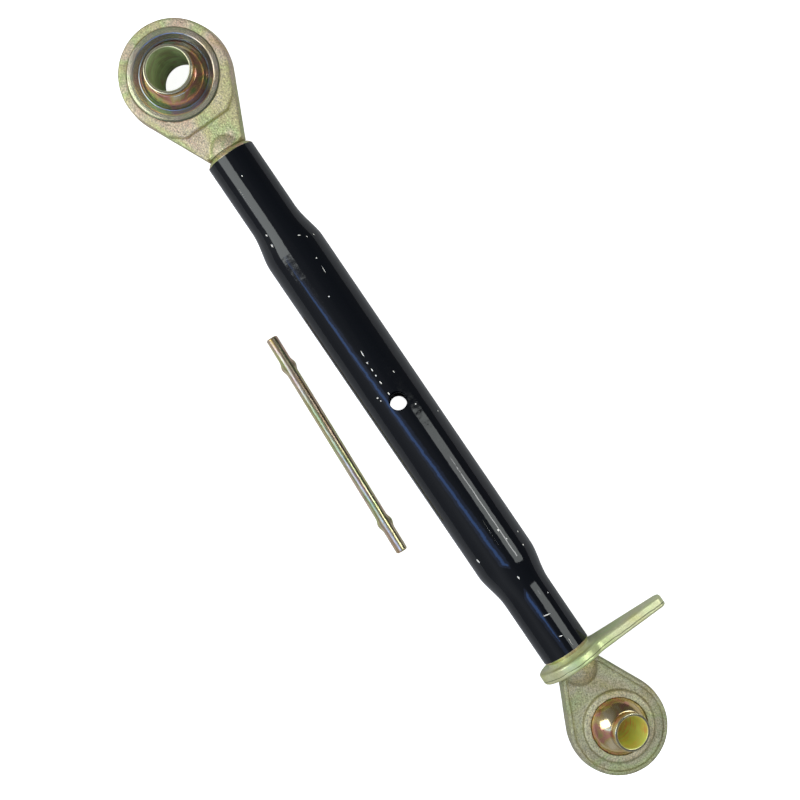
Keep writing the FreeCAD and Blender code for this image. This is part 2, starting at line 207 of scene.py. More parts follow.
print("table top at z = %.1f mm" % (table_mesh.vertices[0].co.z / MM))

# %% [markdown]
# ## The lights
# Black gloss paint shows nothing but what it mirrors, so the room is dark, a little lighter on
# the left, and each lamp draws one stripe along the barrel. A lamp is described the way the
# barrel sees it: by the stretch of the barrel's axis that it stands over, and by the fan of
# angles about that axis that it fills. Two large soft boxes stand at the left of one end and
# at the right of the other, a thin tube brightens the core of the right stripe, and a long
# blue strip hangs aslant and draws the thin blue streak. The ceiling lamp lights the plating
# and the table, but is left out of reflections.

# %% Room
WALLS = [(0.0, 0.22), (0.14, 0.42), (0.24, 0.34), (0.36, 0.20), (0.5, 0.17), (0.62, 0.11),
         (0.9, 0.07), (1.0, 0.10)]

room = bpy.data.worlds.new("room")
room.use_nodes = True
tree = room.node_tree
looking = split(tree, tree.nodes.new("ShaderNodeTexCoord").outputs["Generated"])
sideways = math_node(tree, "MULTIPLY_ADD", looking["Y"], 0.5, 0.5)
walls = add_node(tree, "ShaderNodeValToRGB", ("Fac", sideways))
stops = walls.color_ramp.elements
for number, (side, grey) in enumerate(WALLS):
    stop = stops[number] if number < 2 else stops.new(side)
    stop.position = side
    stop.color = (grey * 0.95, grey, grey * 1.08, 1)
tree.links.new(walls.outputs["Color"], tree.nodes["Background"].inputs["Color"])
bpy.context.scene.world = room


# %% Lamps
# An area lamp shines with a radiance of its watts over four times its area.
AREA_FACTOR = 4
PALE, WHITE = (0.94, 1.0, 0.98), (1, 1, 1)
BLUE, PALE_BLUE = (0.14, 0.36, 1.0), (0.35, 0.5, 1.0)


def light_up(name, place, size, radiance, colour, mirrored):
    """Rectangular lamp of a radiance on a matrix, seen in reflections or not."""
    light = bpy.data.lights.new(name, "AREA")
    light.shape = "RECTANGLE"
    light.size, light.size_y = size
    light.energy = radiance * AREA_FACTOR * size[0] * size[1]
    light.color = colour
    lamp = bpy.data.objects.new(name, light)
    lamp.matrix_world = place
    lamp.visible_glossy = mirrored
    lamp.visible_camera = False
    bpy.context.scene.collection.objects.link(lamp)
    print("%s: %.1f W" % (name, light.energy))


def add_lamp(name, stretch, fan, distance, radiance, colour=PALE, mirrored=True):
    """Lamp over a stretch of the barrel's axis, in metres, filling a fan of angles about it."""
    middle, turn = sum(stretch) / 2, math.radians(sum(fan) / 2)
    across = 2 * distance * math.tan(math.radians(fan[1] - fan[0]) / 2)
    foot = Vector((middle, 0.0, 0.0))
    spot = foot + Vector((0.0, math.sin(turn), math.cos(turn))) * distance
    size = (stretch[1] - stretch[0], across)
    light_up(name, facing(spot, foot, 0.0), size, radiance, colour, mirrored)


def add_strip(name, first, last, width, radiance, colour):
    """Strip lamp from one point to another at the same height, facing down."""
    first, last = Vector(first), Vector(last)
    along = (last - first).normalized()
    spot = (first + last) / 2
    foot = along * spot.dot(along)
    size = ((last - first).length, width)
    place = facing(spot, foot, math.atan2(along.y, along.x))
    light_up(name, place, size, radiance, colour, True)


add_lamp("left_softbox", (-1.35, -0.33), (-61, -21), 1.7, 2.6)
add_lamp("right_softbox", (0.045, 0.80), (27, 60), 1.7, 2.1)
add_lamp("right_tube", (0.16, 0.39), (43.0, 46.0), 1.6, 8.0, WHITE)
add_strip("blue_strip", (-0.32, -1.46, 1.3), (0.47, -0.03, 1.3), 0.13, 2.1, BLUE)
add_strip("blue_halo", (-0.26, -1.36, 1.32), (0.53, 0.07, 1.32), 0.42, 0.4, PALE_BLUE)
add_lamp("ceiling_lamp", (-1.2, 1.2), (-30, 30), 2.2, 1.3, WHITE, mirrored=False)

# %% [markdown]
# ## Yellow zinc plate
# The forgings, balls and bar are zinc plated and then dipped in a yellow chromate. The film is
# thinner here and thicker there, so straw yellow runs into green and pink like oil on water.
# One shader group makes that play of colours for every plated piece: two noises, one warping
# the other, walk through a ramp of straw, green, pink and gold.

# %% Group: chromate colours
def new_group(name, inputs, outputs):
    """Shader node group with named (kind, default) inputs and its two end nodes."""
    group = bpy.data.node_groups.new(name, "ShaderNodeTree")
    for label, kind, start in inputs:
        socket = group.interface.new_socket(label, in_out="INPUT", socket_type="NodeSocket" + kind)
        if start is not None:
            socket.default_value = start
    for label, kind in outputs:
        group.interface.new_socket(label, in_out="OUTPUT", socket_type="NodeSocket" + kind)
    return group, group.nodes.new("NodeGroupInput"), group.nodes.new("NodeGroupOutput")


def fill_ramp(node, stops):
    """Give a Color Ramp node its (position, colour) stops."""
    ramp = node.color_ramp
    while len(ramp.elements) < len(stops):
        ramp.elements.new(0.5)
    for element, (position, colour) in zip(ramp.elements, stops):
        element.position = position
        element.color = (*colour, 1)
    return node


ROSE = (0.86, 0.62, 0.46)
CREAM = (0.88, 0.76, 0.52)
STRAW = (0.80, 0.72, 0.36)
LIME = (0.66, 0.76, 0.34)
GOLD = (0.78, 0.56, 0.20)

chromate, start, end = new_group(
    "Chromate colours",
    [("Vector", "Vector", None), ("Scale", "Float", 30.0), ("Fine Scale", "Float", 900.0),
     ("Fine Amount", "Float", 0.4), ("Shift", "Float", 0.0)],
    [("Color", "Color"), ("Film", "Float")])
given = start.outputs
broad = noise_field(chromate, given["Vector"], given["Scale"], 2.5, ("Distortion", 0.5))
fine = noise_field(chromate, given["Vector"], given["Fine Scale"], 3.0, ("Roughness", 0.6))
grain = math_node(chromate, "SUBTRACT", fine, 0.5)
film = math_node(chromate, "ADD", broad, math_node(chromate, "MULTIPLY", grain, 0.12))
film = math_node(chromate, "ADD", film, given["Shift"])
hue = fill_ramp(add_node(chromate, "ShaderNodeValToRGB", ("Fac", film)), [
    (0.32, GOLD), (0.40, ROSE), (0.46, CREAM), (0.51, STRAW), (0.56, LIME), (0.61, CREAM),
    (0.68, ROSE)])
swing = math_node(chromate, "MULTIPLY", given["Fine Amount"], 3.0)
level = math_node(chromate, "ADD", math_node(chromate, "MULTIPLY", grain, swing), 0.92)
level = math_node(chromate, "MINIMUM", level, 1.08)
shade = add_node(chromate, "ShaderNodeCombineColor", (0, level), (1, level), (2, level))
play = add_node(chromate, "ShaderNodeMix", (0, 1.0), (6, hue.outputs["Color"]),
                (7, shade.outputs[0]), data_type="RGBA", blend_type="MULTIPLY")
chromate.links.new(play.outputs[2], end.inputs["Color"])
chromate.links.new(film, end.inputs["Film"])
print("chromate group:", len(chromate.nodes), "nodes")

# %% [markdown]
# ## Forged skin
# A drop forging keeps the grain of its scale under the plating: a rough orange peel a few
# tenths of a millimetre across, with a scatter of pits. The group gives a height for a Bump
# node, and a mask of the pits, where the plating is dark.

# %% Group: forged skin
skin, start, end = new_group(
    "Forged skin",
    [("Vector", "Vector", None), ("Grain Scale", "Float", 900.0), ("Pit Scale", "Float", 420.0),
     ("Pit Size", "Float", 0.32)],
    [("Height", "Float"), ("Pits", "Float")])
given = start.outputs
peel = noise_field(skin, given["Vector"], given["Grain Scale"], 3.0, ("Roughness", 0.55))
cells = add_node(skin, "ShaderNodeTexVoronoi", ("Vector", given["Vector"]),
                 ("Scale", given["Pit Scale"]), ("Randomness", 1.0))
deep = remapped(skin, cells.outputs["Distance"], 0.0, given["Pit Size"], 1.0, 0.0)
some = remapped(skin, noise_field(skin, given["Vector"], 130.0, 2.0), 0.5, 0.66)
pits = math_node(skin, "MULTIPLY", deep, some)
lower = math_node(skin, "MULTIPLY", pits, -0.7)
skin.links.new(math_node(skin, "ADD", peel, lower), end.inputs["Height"])
skin.links.new(pits, end.inputs["Pits"])
print("skin group:", len(skin.nodes), "nodes")

# %% Group use and the Object coordinate
def object_place(tree):
    """Object coordinates, which are the frame's own because every object sits at the origin."""
    return add_node(tree, "ShaderNodeTexCoord").outputs["Object"]


def use_group(tree, group, *links):
    """Place a node group in a material, set its inputs and return its outputs."""
    return add_node(tree, "ShaderNodeGroup", *links, node_tree=group).outputs


# %% Plated forging
PIT_BROWN = (0.17, 0.15, 0.08)
# Painted shade: the dished back of the implement eye is greyed towards its floor, standing in for the shade that
# falls in that recess.
RECESS_SHADE_GREY = (0.17, 0.18, 0.12)
EYE_GREEN = (0.66, 0.70, 0.40)
DISH_FLOOR, DISH_RIM = 8.5 * MM, 9.6 * MM
RECESS_SHADE_SHARE = 0.25
# The implement eye lies rolled by four degrees, and its dished back is on top.
IMPLEMENT_UP = (0.0, 0.0698, 0.9976)


def plated_forging(name, scale, fine_amount, bump, tint, tint_share, up=None):
    """Rough forging in yellow zinc plate; given its upward axis, the dished back gets painted shade, darker
    towards its floor.
    """
    material, tree, shader = new_material(name)
    place = object_place(tree)
    plate = use_group(tree, chromate, ("Vector", place), ("Scale", scale), ("Fine Scale", 1000.0),
                      ("Fine Amount", fine_amount))
    grain = use_group(tree, skin, ("Vector", place))
    colour = mixed(tree, tint_share, plate["Color"], tint)
    # Painted shade in the dished back, deepest at its floor and gone at its rim.
    if up:
        height = add_node(tree, "ShaderNodeVectorMath", (0, place), (1, up),
                          operation="DOT_PRODUCT").outputs["Value"]
        recess_shade = remapped(tree, height, DISH_FLOOR, DISH_RIM, RECESS_SHADE_SHARE, 0.0)
        colour = mixed(tree, recess_shade, colour, RECESS_SHADE_GREY)
    speck = remapped(tree, noise_field(tree, place, 1150.0, 2.0), 0.36, 0.56, fine_amount, 0.0)
    speck = math_node(tree, "MAXIMUM", speck, grain["Pits"])
    colour = mixed(tree, speck, colour, PIT_BROWN)
    rough = remapped(tree, plate["Film"], 0.3, 0.7, 0.40, 0.50)
    dress(tree, shader, colour, rough, 0.72, grain["Height"], bump, 0.6)
    return material


tractor_forging = plated_forging("tractor forging", 24.0, 0.5, 0.85, CREAM, 0.1)
implement_forging = plated_forging("implement forging", 34.0, 0.55, 1.0, EYE_GREEN, 0.5,
                                   IMPLEMENT_UP)

# %% [markdown]
# ## Turned pieces
# Balls and retaining rings come off a lathe, so their surface carries fine rings about their
# own axis. The group measures how far a point is along that axis and across it, and turns the
# sum into very fine waves for the bump. A ball's bore and a ring's dish are found by the same
# two distances.

# %% Group: turning marks
marks, start, end = new_group(
    "Turning marks",
    [("Vector", "Vector", None), ("Centre", "Vector", (0, 0, 0)), ("Axis", "Vector", (0, 0, 1)),
     ("Pitch", "Float", 0.35 * MM)],
    [("Height", "Float"), ("Along", "Float"), ("Across", "Float")])
given = start.outputs
away = add_node(marks, "ShaderNodeVectorMath", (0, given["Vector"]), (1, given["Centre"]),
                operation="SUBTRACT").outputs[0]
along = add_node(marks, "ShaderNodeVectorMath", (0, away), (1, given["Axis"]),
                 operation="DOT_PRODUCT").outputs["Value"]
reach = add_node(marks, "ShaderNodeVectorMath", (0, away), operation="LENGTH").outputs["Value"]
square = math_node(marks, "SUBTRACT", math_node(marks, "MULTIPLY", reach, reach),
                   math_node(marks, "MULTIPLY", along, along))
across = math_node(marks, "SQRT", math_node(marks, "MAXIMUM", square, 0.0))
travel = math_node(marks, "DIVIDE", math_node(marks, "ADD", across, along), given["Pitch"])
wave = math_node(marks, "SINE", math_node(marks, "MULTIPLY", travel, math.tau))
uneven = noise_line(marks, math_node(marks, "MULTIPLY", travel, 0.7), 1.0, 2.0)
height = math_node(marks, "ADD", math_node(marks, "MULTIPLY", wave, 0.25), uneven)
for label, source in (("Height", height), ("Along", along), ("Across", across)):
    marks.links.new(source, end.inputs[label])
print("turning group:", len(marks.nodes), "nodes")


# %% Plated ball and retaining ring
BALLS = {
    "tractor": {"ball": 22.5, "width": 51.0, "collar": 14.7, "bore": 12.8},
    "implement": {"ball": 19.5, "width": 44.0, "collar": 11.4, "bore": 9.7},
}
RINGS = {
    "tractor": {"outer": 28.0, "seat": 4.5, "face": 12.5, "land": 3.75, "opening": 20.4,
                "pale_from": 24.2},
    "implement": {"outer": 24.25, "seat": 4.0, "face": 11.0, "land": 3.25, "opening": 17.6,
                  "pale_from": 21.0},
}
SPHERE_TONES = [
    (0.44, (0.78, 0.60, 0.24)), (0.53, (0.44, 0.58, 0.20)), (0.60, (0.80, 0.52, 0.24)),
    (0.67, (0.80, 0.36, 0.28)), (0.74, (0.74, 0.54, 0.22)), (0.84, (0.84, 0.70, 0.44))]
BORE_TONES = {
    "tractor": [(0.38, (0.36, 0.28, 0.15)), (0.48, (0.42, 0.50, 0.22)),
                (0.56, (0.60, 0.74, 0.36)), (0.66, (0.46, 0.34, 0.20))],
    "implement": [(0.40, (0.95, 0.42, 0.12)), (0.48, (0.90, 0.85, 0.18)),
                  (0.6, (0.80, 0.90, 0.20))],
}
COLLAR_STRAW = (0.84, 0.78, 0.54)
LAND_CREAM = (0.86, 0.82, 0.68)
DISH_STEEL = (0.33, 0.37, 0.41)
EDGE_SHADE_DARK = (0.16, 0.18, 0.09)


def turning_marks(tree, place, end, pitch):
    """The turning group about the axis of one end's ball."""
    mount = MOUNTS[end + "_ball_bore"]
    return use_group(tree, marks, ("Vector", place), ("Centre", mount["pos_m"]),
                     ("Axis", mount["axis"]), ("Pitch", pitch * MM))


def plated_ball(end, size):
    """Glossy ball: gold, green and rose on the sphere, a pale collar face and its own bore."""
    material, tree, shader = new_material(end + " ball plate")
    place = object_place(tree)
    turned = turning_marks(tree, place, end, 0.3)
    height = math_node(tree, "ABSOLUTE", turned["Along"])
    cloud = noise_field(tree, place, 75.0, 2.0, ("Distortion", 0.6))
    level = math_node(tree, "DIVIDE", height, size["ball"] * MM)
    level = math_node(tree, "ADD", math_node(tree, "MULTIPLY", level, 0.35), cloud)
    bands = fill_ramp(add_node(tree, "ShaderNodeValToRGB", ("Fac", level)), SPHERE_TONES)
    streaks = noise_line(tree, math_node(tree, "DIVIDE", turned["Along"], MM), 0.9, 4.0)
    streaks = math_node(tree, "MULTIPLY_ADD", cloud, 0.5,
                        math_node(tree, "MULTIPLY", streaks, 0.5))
    inside = fill_ramp(add_node(tree, "ShaderNodeValToRGB", ("Fac", streaks)), BORE_TONES[end])
    bored = remapped(tree, turned["Across"], (size["bore"] + 0.1) * MM,
                     (size["bore"] + 0.5) * MM, 1.0, 0.0)
    faced = remapped(tree, height, (size["width"] / 2 - 0.8) * MM,
                     (size["width"] / 2 - 0.5) * MM)
    colour = mixed(tree, faced, bands.outputs["Color"], COLLAR_STRAW)
    colour = mixed(tree, bored, colour, inside.outputs["Color"])
    rough = remapped(tree, bored, 0.0, 1.0, 0.14, 0.45)
    metal = remapped(tree, bored, 0.0, 1.0, 0.97, 0.30)
    dress(tree, shader, colour, rough, metal, turned["Height"], 0.25, 0.03)
    return material


def turned_ring(end, size):
    """Retaining ring: a dark turned dish inside a cream plated land, and painted shade round its outer edge, where
    it meets the eye.
    """
    material, tree, shader = new_material(end + " ring steel")
    place = object_place(tree)
    turned = turning_marks(tree, place, end, 0.45)
    plate = use_group(tree, chromate, ("Vector", place), ("Scale", 40.0), ("Fine Scale", 900.0),
                      ("Fine Amount", 0.4))
    pale = mixed(tree, 0.45, plate["Color"], LAND_CREAM)
    land = remapped(tree, turned["Across"], (size["pale_from"] - 0.5) * MM,
                    (size["pale_from"] + 0.3) * MM)
    # Painted shade: the ring's outer edge is darkened, as the shade in the gap to the eye would darken it.
    edge_shade = remapped(tree, turned["Across"], (size["outer"] - 0.7) * MM,
                    (size["outer"] - 0.4) * MM, 0.0, 0.85)
    colour = mixed(tree, edge_shade, mixed(tree, land, DISH_STEEL, pale), EDGE_SHADE_DARK)
    dress(tree, shader, colour, 0.2, 0.95, turned["Height"], 0.4, 0.06)
    return material


for end in BALLS:
    BALLS[end]["paint"] = plated_ball(end, BALLS[end])
    RINGS[end]["steel"] = turned_ring(end, RINGS[end])
print("turned pieces:", len(BALLS) + len(RINGS), "materials")

# %% [markdown]
# ## Gloss black paint and its nicks
# The barrel is sprayed black after swaging. In use and on the shelf the paint gets nicked down
# to bright metal, most of all on the shoulder of a swage and round the tommy bar hole. Each
# nick is one small group node, placed by its distance along the barrel and its angle round it,
# and all of them are joined by taking the largest mask.

# %% Group: one paint nick
# Radius in millimetres that turns an angle round the barrel into a length.
PAINT_RADIUS = 18.0

nick, start, end = new_group(
    "Paint nick",
    [("Vector", "Vector", None), ("Along", "Float", 0.0), ("Around", "Float", 0.0),
     ("Length", "Float", 1.0), ("Width", "Float", 0.4), ("Slant", "Float", 0.0),
     ("Wobble", "Float", 0.5), ("Ragged", "Float", 0.5)],
    [("Mask", "Float")])
given = start.outputs
spot = split(nick, given["Vector"])
angle = math_node(nick, "ARCTAN2", spot["Y"], spot["Z"])
angle = math_node(nick, "SUBTRACT", angle, math_node(nick, "RADIANS", given["Around"]))
side = math_node(nick, "MULTIPLY", angle, PAINT_RADIUS)
ahead = math_node(nick, "SUBTRACT", math_node(nick, "DIVIDE", spot["X"], MM), given["Along"])
lean = math_node(nick, "RADIANS", given["Slant"])
cosine, sine = math_node(nick, "COSINE", lean), math_node(nick, "SINE", lean)
longwise = math_node(nick, "ADD", math_node(nick, "MULTIPLY", ahead, cosine),
                     math_node(nick, "MULTIPLY", side, sine))
sidewise = math_node(nick, "SUBTRACT", math_node(nick, "MULTIPLY", side, cosine),
                     math_node(nick, "MULTIPLY", ahead, sine))
longwise = math_node(nick, "DIVIDE", longwise, given["Length"])
sidewise = math_node(nick, "DIVIDE", sidewise, given["Width"])
oval = math_node(nick, "ADD", math_node(nick, "POWER", longwise, 2.0),
                 math_node(nick, "POWER", sidewise, 2.0))
ragged = math_node(nick, "MULTIPLY", given["Ragged"],
                   math_node(nick, "MULTIPLY", given["Wobble"], 4.0))
edge = remapped(nick, math_node(nick, "ADD", oval, ragged), 1.4, 1.0)
nick.links.new(edge, end.inputs["Mask"])
print("nick group:", len(nick.nodes), "nodes")

# %% Barrel paint
NICKS = [
    # along in mm, around in degrees, half length, half width, slant, wobble
    (-163, -4, 0.5, 0.4, 0, 0.2), (-150, -28, 19.0, 0.22, -2, 0.72),
    (-126, -33, 0.9, 0.6, 20, 0.3), (-119, -33, 1.5, 0.8, 15, 0.4), (-115, 23, 1.2, 0.4, 60, 0.3),
    (-112, 34, 0.6, 0.3, 0, 0.3), (-111, 51, 0.9, 0.4, 30, 0.3), (-98, 25, 0.7, 0.4, 10, 0.3),
    (-90, 24, 3.0, 0.2, -5, 0.3), (-75, 4, 0.5, 0.4, 0, 0.2),
    (-36, -4, 2.4, 0.3, -2, 0.3), (-30, -6, 0.6, 0.4, 0, 0.2), (-25, -6, 1.0, 0.35, 0, 0.2),
    (-21, -6, 0.6, 0.4, 0, 0.2), (-16, -6, 1.2, 0.35, 5, 0.2), (-17, 25, 0.8, 0.4, 0, 0.3),
    (-9.5, -27, 0.5, 0.5, 0, 0.1), (-8, -5, 1.0, 0.35, 0, 0.2), (-7, -25, 0.4, 0.4, 0, 0.1),
    (6, 25, 0.4, 0.4, 0, 0.1), (17, 62, 0.5, 0.5, 0, 0.2),
    (92, 6, 19.0, 0.22, -1, 0.72), (95, 20, 0.8, 0.6, 0, 0.2), (102, 24, 0.6, 0.4, 0, 0.3),
    (103, 56, 0.6, 0.5, 0, 0.2), (104, -46, 1.7, 0.7, 10, 0.3), (111, 47, 0.6, 0.5, 0, 0.2),
    (125, 2, 1.3, 0.5, 5, 0.3), (143, 41, 0.5, 0.5, 0, 0.2), (153, 8, 2.8, 0.3, 77, 0.15),
    (168, 7, 1.4, 0.35, 75, 0.2), (174, 18, 4.0, 0.2, 0, 0.4),
]
BARREL_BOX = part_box("barrel")
MOUTH_BARE = 2.0 * MM
MOUTH_WANDER = 0.6 * MM
BLACK_PAINT = (0.0024, 0.0033, 0.0052)
BARE_STEEL = (0.86, 0.84, 0.76)

barrel_paint, tree, shader = new_material("barrel paint")
place = object_place(tree)
ragged = noise_field(tree, place, 1900.0, 2.0)
worn = 0.0
for along, around, length, width, slant, wobble in NICKS:
    one = use_group(tree, nick, ("Vector", place), ("Along", along), ("Around", around),
                    ("Length", length), ("Width", width), ("Slant", slant), ("Wobble", wobble),
                    ("Ragged", ragged))
    worn = math_node(tree, "MAXIMUM", worn, one["Mask"])
depth = math_node(tree, "ABSOLUTE", split(tree, place)["X"])
wander = noise_field(tree, place, 300.0, 2.0)
depth = math_node(tree, "MULTIPLY_ADD", wander, MOUTH_WANDER, depth)
bare = math_node(tree, "GREATER_THAN", depth, BARREL_BOX[1].x - MOUTH_BARE + MOUTH_WANDER / 2)
metal = math_node(tree, "MAXIMUM", worn, bare)
plate = use_group(tree, chromate, ("Vector", place), ("Scale", 60.0), ("Fine Amount", 0.3))
bright = mixed(tree, bare, BARE_STEEL, plate["Color"])
flow = noise_field(tree, place, 80.0, 2.0)
peel = noise_field(tree, place, 520.0, 2.0)
height = math_node(tree, "MULTIPLY_ADD", peel, 0.09, flow)
height = math_node(tree, "SUBTRACT", height, math_node(tree, "MULTIPLY", worn, 0.3))
dress(tree, shader, mixed(tree, metal, BLACK_PAINT, bright),
      remapped(tree, metal, 0.0, 1.0, 0.07, 0.4), math_node(tree, "MULTIPLY", bare, 0.85),
      height, 1.0, 0.14)
print("barrel paint:", len(NICKS), "nicks")

# %% [markdown]
# ## Lathe work
# The barrel, the balls and the rings are all solids of revolution, so one helper makes them:
# it sweeps a closed outline of (radius, height) points about the axis of a matrix. The outline
# is drawn with arcs and its corners are broken first, because a machined edge is never sharp
# and the small radius is what catches the light.

# %% Lathe helpers
def arc(centre, radius, first, last, steps):
    """Points on an arc, as (radius, height) pairs, between two angles in degrees."""
    angles = [math.radians(first + (last - first) * step / steps) for step in range(steps + 1)]
    return [(centre[0] + radius * math.cos(turn), centre[1] + radius * math.sin(turn))
            for turn in angles]


def broken(outline, cut, least=20.0):
    """The outline with each corner sharper than `least` degrees rounded by about `cut`."""
    result = []
    for number, here in enumerate(outline):
        here = Vector(here)
        before = Vector(outline[number - 1]) - here
        after = Vector(outline[(number + 1) % len(outline)]) - here
        if math.degrees(math.pi - before.angle(after)) < least:
            result.append(tuple(here))
            continue
        reach = min(cut, before.length * 0.45, after.length * 0.45)
        enter, leave = here + before.normalized() * reach, here + after.normalized() * reach
        for step in range(5):
            share = step / 4
            inner, outer = enter.lerp(here, share), here.lerp(leave, share)
            result.append(tuple(inner.lerp(outer, share)))
    return result


def finish_mesh(mesh, material, sharp=38.0):
    """Weld, point the faces outwards, shade smoothly between sharp edges and give the material."""
    work = bmesh.new()
    work.from_mesh(mesh)
    bmesh.ops.remove_doubles(work, verts=work.verts, dist=1e-7)
    bmesh.ops.recalc_face_normals(work, faces=work.faces)
    if work.calc_volume(signed=True) < 0:
        bmesh.ops.reverse_faces(work, faces=work.faces)
    work.to_mesh(mesh)
    work.free()
    mesh.shade_smooth()
    mesh.set_sharp_from_angle(angle=math.radians(sharp))
    mesh.materials.clear()
    mesh.materials.append(material)


def new_piece(name, mesh, body, slot, *nodes):
    """Object for a finished mesh, riding on a body and standing for the CAD nodes."""
    mesh.name = name
    piece = bpy.data.objects.new(name, mesh)
    bpy.context.scene.collection.objects.link(piece)
    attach(piece, body)
    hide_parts(*nodes)
    print("%s: %d faces" % (name, len(mesh.polygons)))
    return piece


def baked_mesh(holder):
    """Mesh that an object's modifiers make; the object is removed."""
    mesh = bpy.data.meshes.new_from_object(
        holder.evaluated_get(bpy.context.evaluated_depsgraph_get()))
    bpy.data.objects.remove(holder)
    return mesh


def turned_mesh(name, outline, place, turns=192):
    """Mesh of a closed outline in millimetres, turned about the Z axis of the matrix `place`."""
    points, faces = [], []
    for step in range(turns):
        angle = math.tau * step / turns
        for radius, height in outline:
            spot = Vector((radius * math.cos(angle), radius * math.sin(angle), height)) * MM
            points.append(place @ spot)
    count = len(outline)
    for step in range(turns):
        here, ahead = step * count, (step + 1) % turns * count
        for number in range(count):
            after = (number + 1) % count
            faces.append((here + number, ahead + number, ahead + after, here + after))
    mesh = bpy.data.meshes.new(name)
    mesh.from_pydata(points, [], faces)
    return mesh


def standing(spot, axis):
    """Matrix at a spot in metres whose Z axis points along the given axis."""
    turn = Vector((0, 0, 1)).rotation_difference(Vector(axis))
    return Matrix.Translation(Vector(spot)) @ turn.to_matrix().to_4x4()


# %% [markdown]
# ## The barrel
# A steel tube with both ends swaged down hot to a tapped neck. The swage is an S: the tube
# turns in over a fairly tight shoulder and runs out into the neck in a longer hollow. The
# outline is swept on the lathe, and then the tommy bar hole is cut straight through with a
# Boolean, whose cutter is flared at the two places where it meets the skin.

# %% Barrel
BARREL_HALF = BARREL_BOX[1].x / MM
TUBE_RADIUS = BARREL_BOX[1].y / MM
NECK_RADIUS = 15.5
NECK_LENGTHS = {"tractor": 47.0, "implement": 42.5}
SWAGE_LENGTH = 25.0
SWAGE_SKEW = 1.12
SWAGE_STEPS = 24
TUBE_WALL = 4.5
THREAD_RADIUS = 12.7
THREAD_CLEARANCE = 0.05
MOUTH_BEVEL = 1.7
BORE_BEVEL = 0.5
HOLE_FLARE = 0.9
CUTTER_REACH = 30


def swage(share):
    """Height of the S between neck (0) and tube (1), with the tighter bend at the tube."""
    share = share ** SWAGE_SKEW
    return share * share * (3 - 2 * share)


def half_outline(neck_length):
    """Outer points, from the mouth in to the full tube, and inner points back out again."""
    outer = [(THREAD_RADIUS + BORE_BEVEL, BARREL_HALF), (NECK_RADIUS - MOUTH_BEVEL, BARREL_HALF),
             (NECK_RADIUS, BARREL_HALF - MOUTH_BEVEL)]
    for step in range(SWAGE_STEPS + 1):
        share = step / SWAGE_STEPS
        outer.append((NECK_RADIUS + (TUBE_RADIUS - NECK_RADIUS) * swage(share),
                      BARREL_HALF - neck_length - SWAGE_LENGTH * share))
    tapped = THREAD_RADIUS + THREAD_CLEARANCE
    inner = [(TUBE_RADIUS - TUBE_WALL, BARREL_HALF - neck_length - SWAGE_LENGTH),
             (tapped, BARREL_HALF - neck_length), (tapped, BARREL_HALF - BORE_BEVEL)]
    return outer, inner


def mirrored(outline):
    """The outline's points below the middle, in the order that carries the outline on."""
    return [(radius, -height) for radius, height in reversed(outline)]


implement_side, implement_bore = half_outline(NECK_LENGTHS["implement"])
tractor_side, tractor_bore = half_outline(NECK_LENGTHS["tractor"])
skin_line = implement_side + mirrored(tractor_side)
bore_line = mirrored(tractor_bore) + implement_bore
barrel_outline = broken(skin_line + bore_line, 0.4, 30)
barrel_mesh = turned_mesh("barrel", barrel_outline, standing((0, 0, 0), (1, 0, 0)), 256)
finish_mesh(barrel_mesh, barrel_paint)

bar_hole = MOUNTS["tommy_bar_hole"]
HOLE_RADIUS = bar_hole["dims"]["r_mm"]
low_end = [(0.0, -CUTTER_REACH), (HOLE_RADIUS + 1.6, -CUTTER_REACH),
           (HOLE_RADIUS + HOLE_FLARE, -TUBE_RADIUS - 0.4), (HOLE_RADIUS, -TUBE_RADIUS + 1.4)]
cutter_mesh = turned_mesh("hole cutter", low_end + mirrored(low_end),
                          standing(bar_hole["pos_m"], bar_hole["axis"]), 96)
finish_mesh(cutter_mesh, barrel_paint)
cutter = bpy.data.objects.new("hole_cutter", cutter_mesh)
blank = bpy.data.objects.new("barrel_blank", barrel_mesh)
for item in (cutter, blank):
    bpy.context.scene.collection.objects.link(item)
cut = blank.modifiers.new("bar hole", "BOOLEAN")
cut.object, cut.operation, cut.solver = cutter, "DIFFERENCE", "EXACT"
drilled = baked_mesh(blank)
bpy.data.objects.remove(cutter)
finish_mesh(drilled, barrel_paint)
new_piece("painted_barrel", drilled, "barrel", "barrel_paint", "barrel")

# %% [markdown]
# ## Screw threads
# The shanks carry a one inch thread, eight turns to the inch, right hand at the implement end
# and left hand at the tractor end. A thread follows a rule, so Geometry Nodes make it: a flat
# grid is rolled into a tube, and each point's radius is read from where it stands in the
# turns: along the shank by the pitch, plus its own angle. Length, pitch, depth and hand are
# inputs, so the same tree serves both ends.

# %% Geometry Nodes: rolled thread
THREAD_PITCH = 3.175
THREAD_DEPTH = 1.6
THREAD_LEAD = 2.5
ROWS_PER_TURN = 8
THREAD_SIDES = 60

thread_tree = bpy.data.node_groups.new("Rolled thread", "GeometryNodeTree")
thread_tree.interface.new_socket("Geometry", in_out="OUTPUT", socket_type="NodeSocketGeometry")
for label, kind, start in (
        ("Rows", "Int", 400), ("Length", "Float", 160 * MM),
        ("Radius", "Float", THREAD_RADIUS * MM), ("Pitch", "Float", THREAD_PITCH * MM),
        ("Depth", "Float", THREAD_DEPTH * MM), ("Hand", "Float", 1.0),
        ("Lead", "Float", THREAD_LEAD * MM), ("Material", "Material", None)):
    socket = thread_tree.interface.new_socket(label, in_out="INPUT",
                                              socket_type="NodeSocket" + kind)
    if start is not None:
        socket.default_value = start


def thread_sum(operation, *sources):
    """Output of a Math node in the thread tree."""
    return math_node(thread_tree, operation, *sources)


